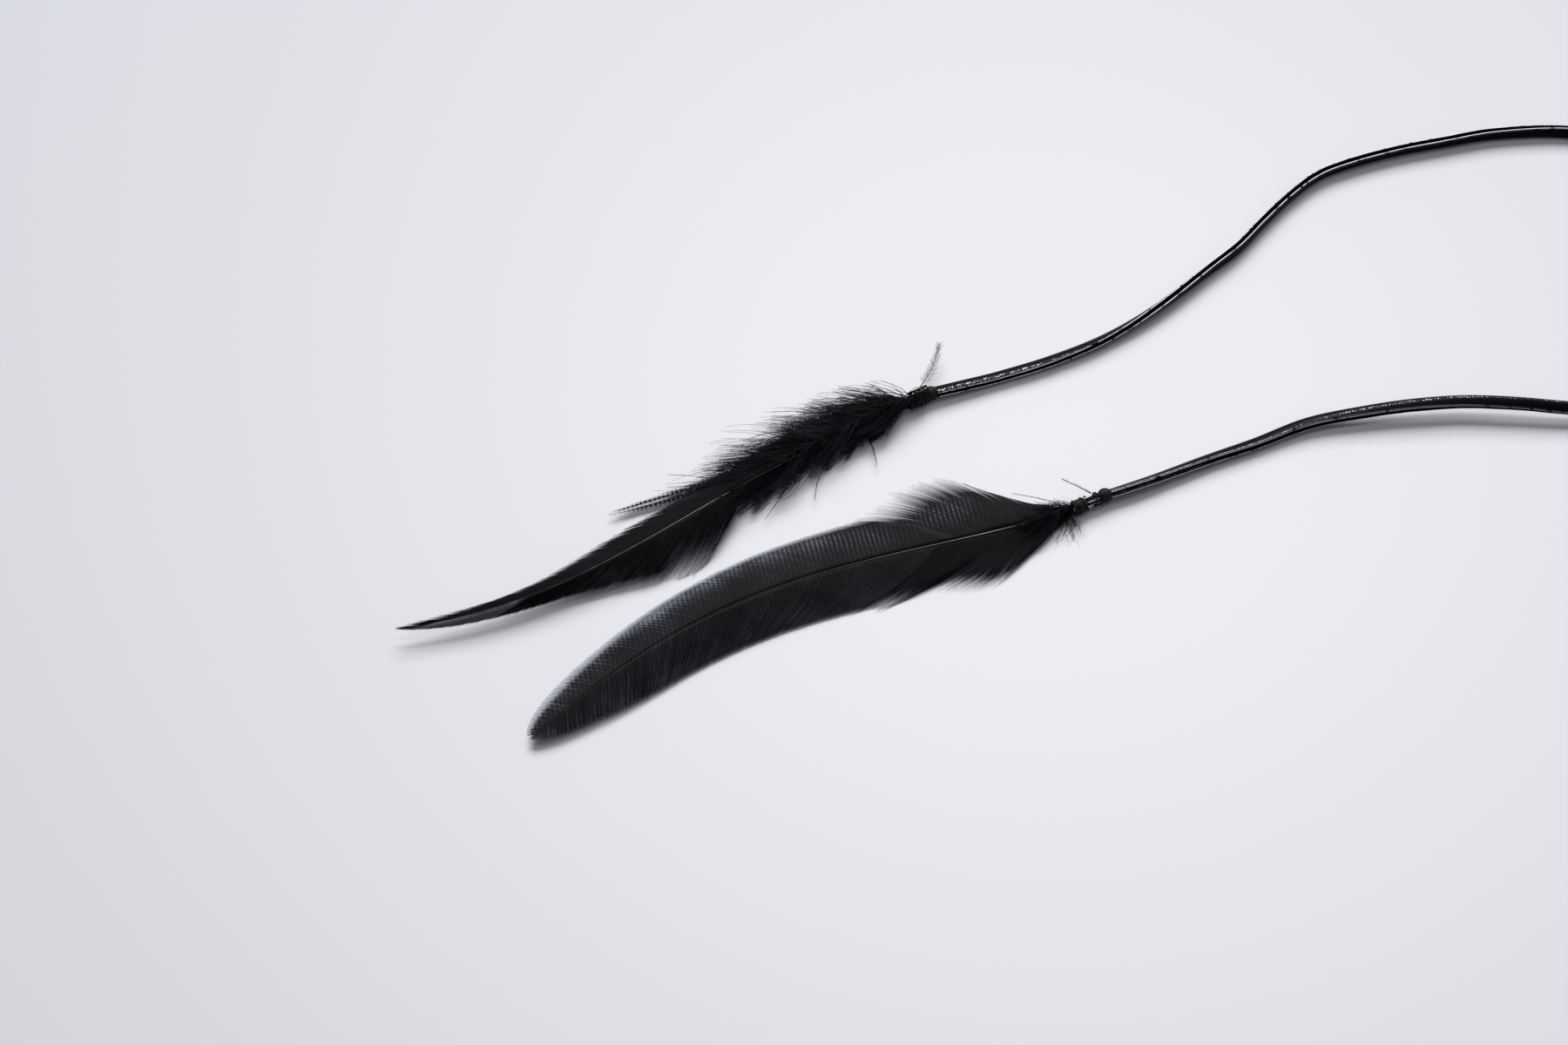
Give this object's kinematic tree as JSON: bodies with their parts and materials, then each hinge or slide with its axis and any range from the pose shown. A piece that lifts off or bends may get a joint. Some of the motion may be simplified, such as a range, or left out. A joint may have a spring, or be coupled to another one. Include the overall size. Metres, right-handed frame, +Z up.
{
  "type": "feather-tipped folded-leather lace",
  "caption": "Black folded-leather lace looped back on itself, each end bound by thread to feathers: a narrow feather under a pile of down, and a broad round-tipped feather",
  "frame": {"origin": "on the resting surface, under the middle of the two pendants' bounding box (the lace is left out as a free cord)", "axes": "+X along the pendants' longest extent, from the feather tips towards the lace's bight; +Y across, from the broad feather's side towards the narrow feather's; +Z up from the resting surface"},
  "size_m": [0.3138, 0.1635, 0.0062],
  "materials": {
    "lace_leather": "smooth black leather with a soft gloss and fine grain",
    "thread": "matte black waxed thread, closely wound",
    "glue": "set clear-black craft glue, hidden inside the wraps",
    "quill": "dark glossy feather quill",
    "vane_black": "purple-black feather vane with a satin sheen",
    "vane_grey": "slate-black feather vane with fine slanting barbs",
    "down": "soft black down"
  },
  "bodies": {
    "lace": {"lace": "lace_leather"},
    "knot_a": {"knot_a": "thread"},
    "knot_b": {"knot_b": "thread"},
    "pendant_a": {"wrap_a": "thread", "lace_end_a": "lace_leather", "glue_a": "glue", "quill_ends_a": "quill", "feather_a_shaft": "quill", "feather_a_upper_vane": "vane_black", "feather_a_lower_vane": "vane_black", "feather_a_loose_barbs": "vane_black", "accent_shaft": "quill", "accent_upper_vane": "vane_grey", "accent_lower_vane": "vane_grey", "down_stem": "quill", "down_upper": "down", "down_lower": "down", "down_wisps": "down", "plume_stem": "quill", "plume_barbs": "down"},
    "pendant_b": {"wrap_b": "thread", "lace_end_b": "lace_leather", "glue_b": "glue", "feather_b_shaft": "quill", "feather_b_upper_vane": "vane_grey", "feather_b_lower_vane": "vane_grey", "feather_b_upper_barbs": "vane_grey", "feather_b_base_clump": "vane_grey", "feather_b_second_clump": "vane_grey", "down_tuft": "down", "stray_quill": "quill", "bare_shaft": "quill"}
  },
  "joints": [
    {"name": "sway_a", "type": "hinge", "parent": "lace", "child": "knot_a", "pos_m": [0.039, 0.037, 0.0017], "axis": [0, 0, 1], "range_deg": [-35, 0]},
    {"name": "lift_a", "type": "hinge", "parent": "knot_a", "child": "pendant_a", "pos_m": [0.039, 0.037, 0.0017], "axis": [-0.4618, 0.887, 0], "range_deg": [0, 60]},
    {"name": "sway_b", "type": "hinge", "parent": "lace", "child": "knot_b", "pos_m": [0.0772, 0.01, 0.0017], "axis": [0, 0, 1], "range_deg": [0, 60]},
    {"name": "lift_b", "type": "hinge", "parent": "knot_b", "child": "pendant_b", "pos_m": [0.0772, 0.01, 0.0017], "axis": [-0.4305, 0.9026, 0], "range_deg": [0, 60]}
  ]
}
